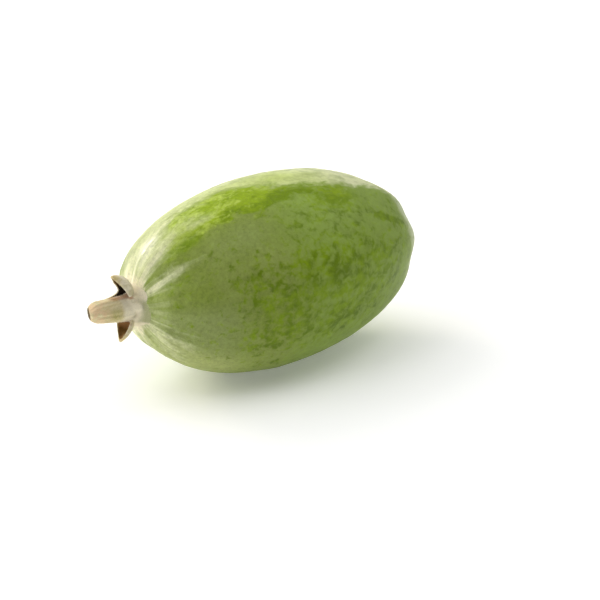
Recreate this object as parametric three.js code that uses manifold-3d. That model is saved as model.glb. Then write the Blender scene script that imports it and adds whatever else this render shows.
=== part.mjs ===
// A whole feijoa, lying on its side: an oblong green berry with the stub of its stalk and two small
// bracts at one end, and the dried calyx with the stub of the style at the other.
// Millimetres, +Z up. The fruit's long axis runs along X, with the stalk towards -X. The origin is
// the centre of the small flat spot that the fruit rests on.
import * as THREE from "three";
import { mergeVertices } from "three/addons/utils/BufferGeometryUtils.js";
import Module from "manifold-3d";

const wasm = await Module();
wasm.setup();

// ---- Driving dimensions ----

const GAP = 0.35; // between pieces that grow on each other

// The berry. Each half is a blunt oval from the widest ring to its own end.
const FRUIT_RADIUS = 21;
const STEM_HALF = { length: 37, power: 2.1, root: 2.1 };
const CALYX_HALF = { length: 39.3, power: 1.92, root: 2.31 };
const STEM_END_RISE = 1.27; // the stem end curves up from the line of the axis
const STEM_END_DRIFT = 0.18; // and a little towards +Y
const SPOT_DEPTH = 0.35; // how much of the belly the resting spot takes off
const CUT_DEPTH = 10; // height of the block that cuts the spot

// Swellings round the fruit: so many waves, their height, and the angle of one crest.
// Angles go round the long axis from +Y (0) over the top (90).
const BODY_WAVES = [
  { waves: 2, height: 0.13, crest: 68 },
  { waves: 3, height: 0.11, crest: 36 },
  { waves: 5, height: 0.2, crest: 9 },
];
const STEM_WAVES = [
  { waves: 5, height: 0.6, crest: 26 },
  { waves: 4, height: 0.28, crest: -39 },
];
const CALYX_WAVES = [
  { waves: 7, height: 0.55, crest: 12 },
  { waves: 6, height: 0.18, crest: 1 },
];
// The fine ribs that run out from under the stalk, uneven because three counts beat together.
const STEM_RIBS = [
  { waves: 15, height: 0.13, crest: 7 },
  { waves: 19, height: 0.1, crest: 3 },
  { waves: 11, height: 0.08, crest: 21 },
];
const RIBS_RISE = [0.17, 0.3]; // shares of the fruit's radius where the ribs begin and are full
const RIBS_FADE = [0.42, 0.85]; // and where they start to fade and are gone
const KEEL = { angle: 117, halfWidth: 11, height: 0.35 }; // the soft long edge beside the top
const FRUIT_AROUND = 84;
const FRUIT_ALONG = 36;

// The stalk, measured out from the stem end of the fruit.
const STALK_LENGTH = 9.7;
const COLLAR_RADIUS = 3.85;
const COLLAR_HEIGHT = 3.15; // where its flare has died away
const STALK_BASE_RADIUS = 2.75;
const STALK_TIP_RADIUS = 2.25;
const TIP_ROUNDING = 1.5;
const TIP_DRAW_LENGTH = 2.2; // the end is drawn in from here, and its top side more
const TIP_DRAW = 0.2;
const TOP_DRAW = 1;
const STALK_LEAN = 0.1; // sideways travel for each millimetre out, at the collar
const STALK_CURVE = 0.03; // how fast that grows, per millimetre
const STALK_LEAN_AZIMUTH = 80; // from the top, towards +Y
const CUT_SLOPE = 0.42; // slant of the pruning cut
const SLANT_FROM = 4.1; // how far out the stub starts to follow it
const CUT_AZIMUTH = 100; // the side that the cut faces
const STALK_AROUND = 30;

// A blade grows from a ring. Lean is its angle from the ring's axis, at its root and its tip, and
// cup is half its wrap. The root and tip shares are of its full width. Its far half can have its own
// shares, at the root and further on, and a root that is sunk this much nearer the axis.
const BRACT = {
  thickness: 0.75,
  rootRadius: 2.3,
  rootHeight: 0.7,
  rootShare: 0.5,
  shoulder: 2.4,
  tipShare: 0.14,
  cup: [80, 74],
};
const WIDE_BRACT = {
  ...BRACT,
  rootShare: 0.1,
  farHalf: [1.5, 0.66, 0.85],
  sink: 1.8,
  shoulder: 3.2,
  tipShare: 0.16,
  cup: [75, 80],
};
const BRACTS = [
  [WIDE_BRACT, { azimuth: -4, length: 8.3, width: 6, lean: [98, 4] }],
  [BRACT, { azimuth: 190, length: 5.7, width: 4.9, lean: [72, 22] }],
];

// The calyx: a low cup on the fruit's other end, with four sepals folded in over it.
const CUP_RADIUS = 4.6;
const CUP_FLOOR = 0.6;
const CUP_RIM_HEIGHT = 1.15;
const CUP_WALL = 0.8;
const CALYX_AROUND = 28;
const SEPAL = {
  thickness: 0.72,
  rootRadius: 4.3,
  rootHeight: 0.35,
  rootShare: 0.96,
  shoulder: 2.8,
  tipShare: 0.12,
  cup: [45, 26],
};
const SEPALS = [
  { azimuth: 20, length: 4.7, width: 6.5, lean: [8, -92] },
  { azimuth: 108, length: 4.4, width: 6.1, lean: [0, -100] },
  { azimuth: 199, length: 4.2, width: 6.2, lean: [-16, -110] },
  { azimuth: 289, length: 4.2, width: 6.2, lean: [-10, -100] },
];
const BLADE_ALONG = 10;
const BLADE_ACROSS = 8;

// The dried style stub, which stands in the calyx cup.
const STYLE_LENGTH = 3.7;
const STYLE_RADIUS = 0.55;
const STYLE_KNOB_RADIUS = 0.68;
const STYLE_LEAN = 0.07;
const STYLE_AROUND = 12;

// What grows on the fruit follows it underneath, at these shares of its own radius.
const FOOT_RINGS = [0.3, 0.65, 1];
const COLLAR_RINGS = [0.1, 0.6, 1.2, 2, 3.15];

// ---- Colours and finishes ----

const paint = (color, roughness) => new THREE.MeshStandardMaterial({ color, roughness, metalness: 0 });
const SKIN = paint("#7b8f46", 0.62);
const STALK_BARK = paint("#c3b48c", 0.85);
const SEPAL_GREEN = paint("#8f9468", 0.85);
const DRY_BROWN = paint("#5b4429", 0.9);

// ---- Helpers ----

const radians = THREE.MathUtils.degToRad;
const mix = THREE.MathUtils.lerp;
const clamp = (value) => THREE.MathUtils.clamp(value, 0, 1);
const ramp = (value, [from, to]) => THREE.MathUtils.smoothstep(value, from, to);

// How far an angle is from another one, the short way round.
function turned(angle, degrees) {
  const apart = angle - radians(degrees);
  return Math.atan2(Math.sin(apart), Math.cos(apart));
}

function wavesAt(list, angle) {
  const one = ({ waves, height, crest }) => height * Math.cos(waves * (angle - radians(crest)));
  return list.reduce((sum, wave) => sum + one(wave), 0);
}

// Moves each vertex of a geometry to where place() puts it, and welds the seams.
function reshape(geometry, place) {
  const position = geometry.getAttribute("position");
  const from = new THREE.Vector3();
  for (let i = 0; i < position.count; i++) {
    const to = place(from.fromBufferAttribute(position, i));
    position.setXYZ(i, to.x, to.y, to.z);
  }
  geometry.deleteAttribute("normal");
  geometry.deleteAttribute("uv");
  return mergeVertices(geometry, 1e-4);
}

const solid = (geometry) =>
  new wasm.Manifold(
    new wasm.Mesh({
      numProp: 3,
      vertProperties: new Float32Array(geometry.getAttribute("position").array),
      triVerts: new Uint32Array(geometry.index.array),
    }),
  );

function geometryOf(manifold) {
  const { vertProperties, triVerts } = manifold.getMesh();
  const geometry = new THREE.BufferGeometry();
  geometry.setAttribute("position", new THREE.BufferAttribute(vertProperties, 3));
  geometry.setIndex(new THREE.BufferAttribute(triVerts, 1));
  return geometry;
}

function named(name, geometry, material) {
  const mesh = new THREE.Mesh(geometry, material);
  mesh.name = name;
  return mesh;
}

// A turned solid about Z, from [radius, height] pairs that start and end on the axis.
function lathe(profile, around) {
  const points = profile.map(([radius, height]) => new THREE.Vector2(radius, height));
  return new THREE.LatheGeometry(points, around).rotateX(Math.PI / 2);
}

// ---- The fruit ----

// How far out from its end the surface has come, for a ring of this radius.
function dropAt(half, radius) {
  const share = (1 - (radius / FRUIT_RADIUS) ** half.root) ** (1 / half.power);
  return half.length * (1 - share);
}

// The skin at a share of the way from the widest ring (-1 stem end, +1 calyx end) and an angle
// round the axis. The axis is at z = 0 here.
function skinPoint(share, angle) {
  const half = share < 0 ? STEM_HALF : CALYX_HALF;
  const reach = Math.abs(share);
  const oval = Math.max(0, 1 - reach ** half.power) ** (1 / half.root);
  const belly = Math.sqrt(Math.max(0, 1 - share * share));
  const endWaves = share < 0 ? STEM_WAVES : CALYX_WAVES;
  const ribs = share < 0 ? ramp(oval, RIBS_RISE) * (1 - ramp(oval, RIBS_FADE)) : 0;
  const keel = Math.exp(-((turned(angle, KEEL.angle) / radians(KEEL.halfWidth)) ** 2));
  const radius =
    FRUIT_RADIUS * oval +
    belly * wavesAt(BODY_WAVES, angle) +
    2 * reach ** 3 * belly * wavesAt(endWaves, angle) +
    ribs * wavesAt(STEM_RIBS, angle) +
    KEEL.height * keel * belly * ramp(-share, [-0.35, 0.25]);
  const bend = share < 0 ? share * share : 0;
  return new THREE.Vector3(
    share * half.length,
    STEM_END_DRIFT * bend + radius * Math.cos(angle),
    STEM_END_RISE * bend + radius * Math.sin(angle),
  );
}

const AXIS_HEIGHT = -skinPoint(0, radians(270)).z - SPOT_DEPTH;

function fruit() {
  const whole = reshape(new THREE.SphereGeometry(1, FRUIT_AROUND, FRUIT_ALONG), (p) =>
    skinPoint(THREE.MathUtils.clamp(p.y, -1, 1), Math.atan2(p.x, p.z)),
  ).translate(0, 0, AXIS_HEIGHT);
  const side = 2 * (STEM_HALF.length + CALYX_HALF.length);
  const ground = new THREE.BoxGeometry(side, side, CUT_DEPTH).translate(0, 0, -CUT_DEPTH / 2);
  const block = reshape(ground, (p) => p.clone());
  return named("fruit", geometryOf(solid(whole).subtract(solid(block))), SKIN);
}

// ---- Blades, for bracts and sepals ----

// A share of the width: wide at the root, narrow at a waist and wider again towards the tip.
function waisted([root, waist, widest], s) {
  return root + (waist - root) * ramp(s, [0, 0.3]) + (widest - waist) * ramp(s, [0.2, 0.6]);
}

// A pointed blade that grows out of a ring about Z. A box of thin cells is laid along an arc that
// leans from lean[0] to lean[1], drawn in to the outline and cupped round the axis.
function blade(kind, { azimuth, length, width, lean }) {
  const [from, to] = lean.map(radians);
  const turn = to - from;
  const across = new THREE.Vector3(0, 1, 0);
  const box = new THREE.BoxGeometry(2, 1, 1, BLADE_ACROSS, 1, BLADE_ALONG);
  return reshape(box, ({ x: v, y: face, z }) => {
    const s = z + 0.5;
    const isFar = ramp(v, [-0.25, 0.25]);
    const nearShare = mix(kind.rootShare, 1, ramp(s, [0, 0.35]));
    const farShare = kind.farHalf ? waisted(kind.farHalf, s) : nearShare;
    const opening = mix(nearShare, farShare, isFar);
    const sunk = (kind.sink ?? 0) * ramp(v, [0, 1]) * (1 - ramp(s, [0, 0.45]));
    const halfWidth = (width / 2) * opening * mix(1 - s ** kind.shoulder, 1, kind.tipShare);
    const wrap = radians(mix(kind.cup[0], kind.cup[1], s));
    const swing = v * wrap;
    const angle = from + turn * s;
    const inward = new THREE.Vector3(-Math.cos(angle), 0, Math.sin(angle));
    const middle = new THREE.Vector3(
      kind.rootRadius - sunk + (length * (Math.cos(from) - Math.cos(angle))) / turn,
      0,
      kind.rootHeight + (length * (Math.sin(angle) - Math.sin(from))) / turn,
    );
    const normal = inward.clone().multiplyScalar(Math.cos(swing));
    normal.addScaledVector(across, -Math.sin(swing));
    return middle
      .addScaledVector(across, (halfWidth * Math.sin(swing)) / Math.sin(wrap))
      .addScaledVector(inward, (halfWidth * (1 - Math.cos(swing))) / Math.sin(wrap))
      .addScaledVector(normal, face * kind.thickness);
  }).rotateZ(radians(azimuth));
}

// ---- The stem end ----

// How far the collar stands out from the stub at this height.
function flareAt(height) {
  const faded = clamp((height + 0.75) / (COLLAR_HEIGHT + 0.75));
  return (COLLAR_RADIUS - STALK_BASE_RADIUS + 0.3) * (1 - faded) ** 3;
}

function stalk() {
  const foot = FOOT_RINGS.map((share) => COLLAR_RADIUS * share);
  const profile = [
    [0, GAP],
    ...foot.map((radius) => [radius, GAP - dropAt(STEM_HALF, radius)]),
    ...COLLAR_RINGS.map((height) => [STALK_BASE_RADIUS + flareAt(height), height]),
    [mix(STALK_BASE_RADIUS, STALK_TIP_RADIUS, 0.5), STALK_LENGTH - 4.2],
    [STALK_TIP_RADIUS - 0.1, STALK_LENGTH - TIP_ROUNDING],
    [STALK_TIP_RADIUS - 0.4, STALK_LENGTH - TIP_ROUNDING / 3],
    [STALK_TIP_RADIUS - TIP_ROUNDING, STALK_LENGTH],
    [0, STALK_LENGTH],
  ];
  const lean = radians(STALK_LEAN_AZIMUTH);
  const cut = radians(CUT_AZIMUTH);
  const stub = reshape(lathe(profile, STALK_AROUND), (p) => {
    const slant = ramp(p.z, [SLANT_FROM, STALK_LENGTH - TIP_ROUNDING]);
    const z = p.z - slant * CUT_SLOPE * (p.x * Math.cos(cut) + p.y * Math.sin(cut));
    const over = clamp((z - STALK_LENGTH + TIP_DRAW_LENGTH) / (TIP_DRAW_LENGTH + 1.3)) ** 2;
    const x = p.x * (1 - TIP_DRAW * over) * (p.x > 0 ? 1 - TOP_DRAW * over : 1);
    const y = p.y * (1 - TIP_DRAW * over);
    const out = Math.max(0, z);
    const drift = STALK_LEAN * out + (STALK_CURVE * out * out) / 2;
    return new THREE.Vector3(x + drift * Math.cos(lean), y + drift * Math.sin(lean), z);
  });
  const bracts = BRACTS.map(([kind, one]) => solid(blade(kind, one)));
  const whole = bracts.reduce((sum, one) => sum.add(one), solid(stub));
  return named("stalk", geometryOf(whole), STALK_BARK);
}

function stemEnd() {
  const end = new THREE.Group();
  end.position.set(-STEM_HALF.length, STEM_END_DRIFT, AXIS_HEIGHT + STEM_END_RISE);
  end.rotation.y = -Math.PI / 2; // its Z points out of the fruit, and its X up
  end.add(stalk());
  return end;
}

// ---- The calyx end ----

function calyx() {
  const foot = FOOT_RINGS.map((share) => CUP_RADIUS * share);
  const profile = [
    [0, GAP],
    ...foot.map((radius) => [radius, GAP - dropAt(CALYX_HALF, radius)]),
    [CUP_RADIUS + 0.1, 0.3],
    [CUP_RADIUS, CUP_RIM_HEIGHT],
    [CUP_RADIUS - CUP_WALL, CUP_RIM_HEIGHT],
    [CUP_RADIUS - CUP_WALL - 0.5, CUP_FLOOR],
    [0, CUP_FLOOR],
  ];
  const cup = reshape(lathe(profile, CALYX_AROUND), (p) => p.clone());
  const sepals = SEPALS.map((one) => solid(blade(SEPAL, one)));
  const whole = sepals.reduce((sum, one) => sum.add(one), solid(cup));
  return named("calyx", geometryOf(whole), SEPAL_GREEN);
}

function style() {
  const foot = CUP_FLOOR + GAP;
  const profile = [
    [0, foot],
    [STYLE_RADIUS + 0.25, foot],
    [STYLE_RADIUS, foot + 0.7],
    [STYLE_RADIUS - 0.08, foot + STYLE_LENGTH - 0.9],
    [STYLE_KNOB_RADIUS, foot + STYLE_LENGTH - 0.35],
    [STYLE_KNOB_RADIUS - 0.2, foot + STYLE_LENGTH],
    [0, foot + STYLE_LENGTH],
  ];
  const stub = reshape(lathe(profile, STYLE_AROUND), (p) =>
    p.clone().setX(p.x + STYLE_LEAN * (p.z - foot)),
  );
  return named("style", geometryOf(solid(stub)), DRY_BROWN);
}

function calyxEnd() {
  const end = new THREE.Group();
  end.position.set(CALYX_HALF.length, 0, AXIS_HEIGHT);
  end.rotation.y = Math.PI / 2; // its Z points out of the fruit, and its X down
  end.add(calyx(), style());
  return end;
}

const feijoa = new THREE.Group();
feijoa.add(fruit(), stemEnd(), calyxEnd());

export default feijoa;
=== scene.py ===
"""A whole feijoa on a pale table: a velvety oblong fruit lying on its side, with the felted stub of its
stalk and two bracts at one end, and the dried calyx at the other. Sizes are in millimetres until they
reach Blender, which takes metres. The fruit's long axis is X, with the stalk towards -X."""

import math

import bpy
import numpy as np
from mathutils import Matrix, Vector
from mathutils.kdtree import KDTree


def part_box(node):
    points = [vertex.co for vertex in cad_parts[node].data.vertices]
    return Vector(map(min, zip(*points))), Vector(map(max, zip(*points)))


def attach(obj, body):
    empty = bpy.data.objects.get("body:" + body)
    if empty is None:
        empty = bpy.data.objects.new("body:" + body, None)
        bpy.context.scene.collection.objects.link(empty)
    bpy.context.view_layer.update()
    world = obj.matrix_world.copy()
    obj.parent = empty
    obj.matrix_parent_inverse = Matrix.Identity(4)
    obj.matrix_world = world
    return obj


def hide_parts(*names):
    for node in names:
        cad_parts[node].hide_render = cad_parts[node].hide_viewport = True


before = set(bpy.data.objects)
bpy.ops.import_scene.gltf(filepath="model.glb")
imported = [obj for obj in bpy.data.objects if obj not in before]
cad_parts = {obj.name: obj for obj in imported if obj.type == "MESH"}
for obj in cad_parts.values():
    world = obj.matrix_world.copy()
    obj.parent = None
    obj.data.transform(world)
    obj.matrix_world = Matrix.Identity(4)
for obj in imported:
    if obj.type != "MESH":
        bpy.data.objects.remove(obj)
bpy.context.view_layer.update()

MM = 0.001  # a millimetre, in Blender's metres


# ---- Driving dimensions, in millimetres, of the fruit and what grows on it ----

FRUIT_LOW, FRUIT_HIGH = (np.array(corner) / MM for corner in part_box("fruit"))
STEM_POWER, STEM_ROOT = 2.1, 2.1
CALYX_POWER, CALYX_ROOT = 1.92, 2.31
STEM_LENGTH = -FRUIT_LOW[0]
CALYX_LENGTH = FRUIT_HIGH[0]
FRUIT_RADIUS = 21.0
STEM_END_RISE = 1.27
STEM_END_DRIFT = 0.18
SPOT_DEPTH = 0.35

# Swellings round the fruit, as (waves, height, angle of one crest in degrees).
BODY_WAVES = [(2, 0.13, 68), (3, 0.11, 36), (5, 0.2, 9)]
STEM_WAVES = [(5, 0.6, 26), (4, 0.28, -39)]
CALYX_WAVES = [(7, 0.55, 12), (6, 0.18, 1)]
STEM_RIBS = [(15, 0.13, 7), (19, 0.1, 3), (11, 0.08, 21)]
RIBS_RISE = (0.17, 0.3)
RIBS_FADE = (0.42, 0.85)
KEEL_ANGLE, KEEL_HALF_WIDTH, KEEL_HEIGHT = 117, 11, 0.35
SKIN_RELIEF = {"Wrinkle": 0.36, "Unevenness": 0.22, "Pebble": 0.05, "Dimple": 0.1}
FRUIT_AROUND, FRUIT_ALONG = 380, 190  # faces round the fruit and along it

STALK_LENGTH = 9.7
COLLAR_RADIUS = 3.85
STALK_BASE_RADIUS = 2.75
STALK_TIP_RADIUS = 2.25
TIP_ROUNDING = 1.5
TIP_DRAW_LENGTH, TIP_DRAW, TOP_DRAW = 2.2, 0.2, 1.0
STALK_LEAN, STALK_CURVE, STALK_LEAN_AZIMUTH = 0.1, 0.03, 80
CUT_SLOPE, CUT_AZIMUTH, SLANT_FROM = 0.42, 100, 4.1
SKIRT_WIDTH, SKIRT_HEIGHT = 0.9, 0.95  # the collar's foot, which flares out into the skin
# Fine fibres and broad folds round the stub, as (waves, height, turn, twist per mm) in radians.
FIBRES = [(11, 0.05, 0, 0.5), (17, 0.04, -1, 0.3)]
FOLDS = [(5, 0.28, 0.6, 0), (9, 0.18, -1, 0)]
FOLDS_OUT, FOLDS_REACH = 0.3, 1.3
STUB_AROUND, CUT_FACE_RINGS = 90, 3  # points round the stub, and rings of its tip in the cut face
SCAR = {"azimuth": -42, "out": 1.1, "height": 0.55, "radius": 0.95,
        "dent": 0.22, "dent_radius": 0.45, "dent_width": 0.22}
CREASE = {"azimuth": -106, "out": 1.05, "depth": 0.45, "half_angle": 17, "half_width": 0.26}
BRACT_KIND = {"thickness": 0.72, "root_radius": 2.3, "root_height": 0.7, "root_share": 0.5,
              "shoulder": 2.4, "tip_share": 0.1, "cup": (80, 74)}
BRACTS = [
    {"azimuth": -4, "length": 8.3, "width": 6.0, "lean": (98, 4), "cup": (75, 80), "root_share": 0.1,
     "far_half": (1.5, 0.66, 0.85), "sink": 1.8, "shoulder": 3.2, "tip_share": 0.16},
    {"azimuth": 190, "length": 5.7, "width": 4.9, "lean": (72, 22)},
]

CUP_RADIUS = 4.6
CUP_FLOOR = 0.6
CUP_RIM_HEIGHT = 1.15
SEPAL_KIND = {"thickness": 0.7, "root_radius": 4.3, "root_height": 0.35, "root_share": 0.96,
              "shoulder": 2.8, "tip_share": 0.08, "cup": (45, 26)}
SEPALS = [
    {"azimuth": 20, "length": 4.7, "width": 6.5, "lean": (8, -92)},
    {"azimuth": 108, "length": 4.4, "width": 6.1, "lean": (0, -100)},
    {"azimuth": 199, "length": 4.2, "width": 6.2, "lean": (-16, -110)},
    {"azimuth": 289, "length": 4.2, "width": 6.2, "lean": (-10, -100)},
]
STAMENS = {"Count": 64, "Ring": 2.7, "Length": 1.3, "Thickness": 0.09, "Seed": 7}
STYLE_LENGTH = 3.7
STYLE_RADIUS = 0.55
STYLE_KNOB_RADIUS = 0.68
STYLE_LEAN = 0.07

# The felted skins' fineness in millimetres, and rounds of softening for them and for their marks.
SKIN_VOXEL, SKIN_SOFTENING, MARK_SOFTENING = 0.1, 4, 4
FELT_HAIR = {"Density": 9.0, "Length": 0.3, "Thickness": 0.016}  # density is per square mm


def waves_at(waves, degrees):
    """The height of these swellings at an angle round the fruit."""
    return sum(height * math.cos(count * math.radians(degrees - crest)) for count, height, crest in waves)


# The fruit's underside is flattened by the depth of the spot that it lies on.
AXIS_HEIGHT = FRUIT_RADIUS + waves_at(BODY_WAVES, 270) - SPOT_DEPTH


# ---- Nodes: expressions for numbers, and one way to add any other node ----

def operator(operation, flipped=False):
    """A Python operator that adds a Math node. It is flipped where the other value comes first."""
    def act(value, other):
        pair = (other, value) if flipped else (value, other)
        return value.nodes.math(operation, *pair)
    return act


class Value:
    """What comes out of a node. An expression on values adds Math nodes to their tree."""

    def __init__(self, nodes, socket):
        self.nodes, self.socket = nodes, socket

    __add__, __radd__ = operator("ADD"), operator("ADD", True)
    __sub__, __rsub__ = operator("SUBTRACT"), operator("SUBTRACT", True)
    __mul__, __rmul__ = operator("MULTIPLY"), operator("MULTIPLY", True)
    __truediv__, __pow__ = operator("DIVIDE"), operator("POWER")

    def __neg__(self):
        return self * -1

    def math(self, operation, *others):
        return self.nodes.math(operation, self, *others)

    def ramp(self, low, high):
        """0 at low, 1 at high, and an even S between them. It falls where low is above high."""
        sockets = {"Value": self, "From Min": low, "From Max": high}
        return self.nodes.add("ShaderNodeMapRange", {"interpolation_type": "SMOOTHSTEP"}, sockets)

    def bell(self, middle, half_width):
        """1 at the middle, falling to about a third at half_width from it."""
        apart = (self - middle) / half_width
        return (apart * apart * -1).math("EXPONENT")


class Nodes:
    """A node tree, and the one method that adds its nodes."""

    def __init__(self, tree):
        self.tree = tree

    def add(self, kind, settings=None, sockets=None, out=0):
        """Adds a node, with numbers or values in its sockets, and gives one of its outputs."""
        node = self.tree.nodes.new(kind)
        for name, value in (settings or {}).items():
            setattr(node, name, value)
        for name, value in (sockets or {}).items():
            if isinstance(value, Value):
                self.tree.links.new(value.socket, node.inputs[name])
            else:
                node.inputs[name].default_value = value
        return Value(self, node.outputs[out]) if node.outputs else node

    def math(self, operation, *numbers):
        return self.add("ShaderNodeMath", {"operation": operation}, dict(enumerate(numbers)))

    def join(self, x, y, z):
        return self.add("ShaderNodeCombineXYZ", {}, {"X": x, "Y": y, "Z": z})

    def split(self, vector):
        parts = self.add("ShaderNodeSeparateXYZ", {}, {"Vector": vector}).socket.node.outputs
        return [Value(self, part) for part in parts]

    def noise(self, vector, scale, detail=2.0, roughness=0.5, distortion=0.0):
        sockets = {"Vector": vector, "Scale": scale, "Detail": detail, "Roughness": roughness}
        return self.add("ShaderNodeTexNoise", {}, sockets | {"Distortion": distortion})

    def mix(self, low, high, factor):
        """One colour laid over another. A colour is a Value or a "#rrggbb"."""
        low, high = (colour(tone) if isinstance(tone, str) else tone for tone in (low, high))
        sockets = {0: factor, 6: low, 7: high}
        return self.add("ShaderNodeMix", {"data_type": "RGBA"}, sockets, out=2)

    def lighten(self, tone, factor):
        """A colour times a number: darker below 1 and lighter above it."""
        return self.add("ShaderNodeVectorMath", {"operation": "SCALE"}, {0: tone, "Scale": factor})

    def marks(self, *names):
        """The mesh attributes of these names."""
        return [self.add("ShaderNodeAttribute", {"attribute_name": name}, out="Fac") for name in names]

    def scale(self, vector, x, y, z):
        return self.add("ShaderNodeVectorMath", {"operation": "MULTIPLY"}, {0: vector, 1: (x, y, z)})


def colour(hexadecimal):
    """The colour as Blender's linear numbers."""
    parts = [int(hexadecimal[at:at + 2], 16) / 255 for at in (1, 3, 5)]
    return (*((p / 12.92) if p < 0.04045 else ((p + 0.055) / 1.055) ** 2.4 for p in parts), 1.0)


class Growth(Nodes):
    """A Geometry Nodes tree with named sizes as its inputs."""

    def __init__(self, name, sizes):
        tree = bpy.data.node_groups.new(name, "GeometryNodeTree")
        super().__init__(tree)
        self.sizes = sizes
        tree.interface.new_socket("Geometry", in_out="INPUT", socket_type="NodeSocketGeometry")
        for size, value in sizes.items():
            kind = "NodeSocketInt" if isinstance(value, int) else "NodeSocketFloat"
            tree.interface.new_socket(size, in_out="INPUT", socket_type=kind)
        tree.interface.new_socket("Geometry", in_out="OUTPUT", socket_type="NodeSocketGeometry")
        self.inputs = tree.nodes.new("NodeGroupInput")

    def step(self, kind, settings=None, **sockets):
        """Adds a node of Geometry Nodes. Sockets are its own, with _ for each space in their names."""
        sockets = {name.replace("_", " "): value for name, value in sockets.items()}
        return self.add("GeometryNode" + kind, settings, sockets)

    def size(self, name):
        """One of the tree's named sizes."""
        return Value(self, self.inputs.outputs[name])

    def finish(self, geometry, material):
        """Ends the tree with real, smooth geometry in its material."""
        real = self.step("RealizeInstances", Geometry=geometry)
        smooth = self.step("SetShadeSmooth", Geometry=real)
        dressed = self.step("SetMaterial", Geometry=smooth, Material=material)
        self.add("NodeGroupOutput", {}, {"Geometry": dressed})

    def grow(self, name, start=None):
        """Runs the tree on a starting mesh, and gives the result as a plain mesh object."""
        piece = put(name, start or bpy.data.meshes.new(name))
        modifier = piece.modifiers.new(name, "NODES")
        modifier.node_group = self.tree
        for item in self.tree.interface.items_tree:
            if item.in_out == "INPUT" and item.name in self.sizes:
                modifier[item.identifier] = self.sizes[item.name]
        depsgraph = bpy.context.evaluated_depsgraph_get()
        grown = bpy.data.meshes.new_from_object(
            piece.evaluated_get(depsgraph), preserve_all_data_layers=True, depsgraph=depsgraph)
        piece.modifiers.remove(modifier)
        piece.data = grown
        grown.name = name
        return piece


def put(name, data):
    """A new object in the scene."""
    thing = bpy.data.objects.new(name, data)
    bpy.context.collection.objects.link(thing)
    return thing


def new_material(name):
    """An empty material, and the nodes to fill it with."""
    material = bpy.data.materials.new(name)
    material.use_nodes = True
    material.node_tree.nodes.clear()
    return material, Nodes(material.node_tree)


def surface(nodes, bump=None, bump_distance=0.1, **sockets):
    """Ends a material: sockets are the shader's own, with _ for each space in their names."""
    sockets = {name.replace("_", " "): value for name, value in sockets.items()}
    if bump is not None:
        sockets["Normal"] = nodes.add(
            "ShaderNodeBump", {}, {"Height": bump, "Distance": bump_distance * MM, "Strength": 1.0})
    shader = nodes.add("ShaderNodeBsdfPrincipled", {}, sockets)
    nodes.add("ShaderNodeOutputMaterial", {}, {"Surface": shader})


def place_in_mm(nodes):
    """Where a point is on the object, in millimetres."""
    place = nodes.add("ShaderNodeTexCoord", out="Object")
    return nodes.scale(place, 1 / MM, 1 / MM, 1 / MM)


# ---- The fruit's skin ----

class SpherePlace:
    """Where a point is on the starting sphere: along the fruit from -1 to 1, and round it."""

    def __init__(self, g):
        across, up, self.share = g.split(g.step("InputPosition"))
        self.angle = up.math("ARCTAN2", across)
        self.cosine, self.sine = self.angle.math("COSINE"), self.angle.math("SINE")
        self.stem = self.share.math("LESS_THAN", 0)
        self.reach = self.share.math("ABSOLUTE")
        self.belly = (1 - self.share * self.share).math("MAXIMUM", 0).math("SQRT")
        inside = (1 - self.reach ** self.by_half(STEM_POWER, CALYX_POWER)).math("MAXIMUM", 0)
        self.oval = inside ** self.by_half(1 / STEM_ROOT, 1 / CALYX_ROOT)

    def by_half(self, stem_value, calyx_value):
        """One value on the stem half, and another on the calyx half."""
        return calyx_value + self.stem * (stem_value - calyx_value)

    def waves(self, swellings):
        """The height of these swellings round the fruit."""
        total = 0
        for count, height, crest in swellings:
            total = total + (self.angle * count - math.radians(count * crest)).math("COSINE") * height
        return total


def stem_wrinkles(g, at):
    """The ribs under the stalk with finer wrinkles between them, and a mark of both."""
    rib_height = sum(height for _, height, _ in STEM_RIBS)
    coarse = at.waves(STEM_RIBS) / rib_height
    ring = g.join(at.cosine * 3.6, at.sine * 3.6, at.reach * 2.2)
    fine = g.noise(ring, 1.6, 2, 0.5) * 2 - 1
    ribs = at.stem * at.oval.ramp(*RIBS_RISE) * (1 - at.oval.ramp(*RIBS_FADE)) * coarse * rib_height
    wrinkles = at.stem * at.oval.ramp(0.12, 0.24) * (1 - at.oval.ramp(0.3, 0.7)) * fine
    return ribs + wrinkles * g.size("Wrinkle"), coarse * 0.6 + fine * 0.8


def skin_relief(g, at):
    """The skin is never quite even: broad swells, shallow dimples and a fine pebbling."""
    spot = g.join(at.share * 1.85, at.cosine * at.belly, at.sine * at.belly)
    swell = (g.noise(spot, 2.6, 2, 0.45) - 0.5) * at.belly * g.size("Unevenness") * 2
    pebble = (g.noise(spot, 26, 2, 0.6) - 0.5) * at.belly * g.size("Pebble") * 2
    stretched = g.join(at.share * 5.2, at.cosine * at.belly, at.sine * at.belly)
    dimple = g.noise(stretched, 4.4, 2, 0.5, 0.6).ramp(0.6, 0.72)
    return swell + pebble - dimple * at.belly * g.size("Dimple")


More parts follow.
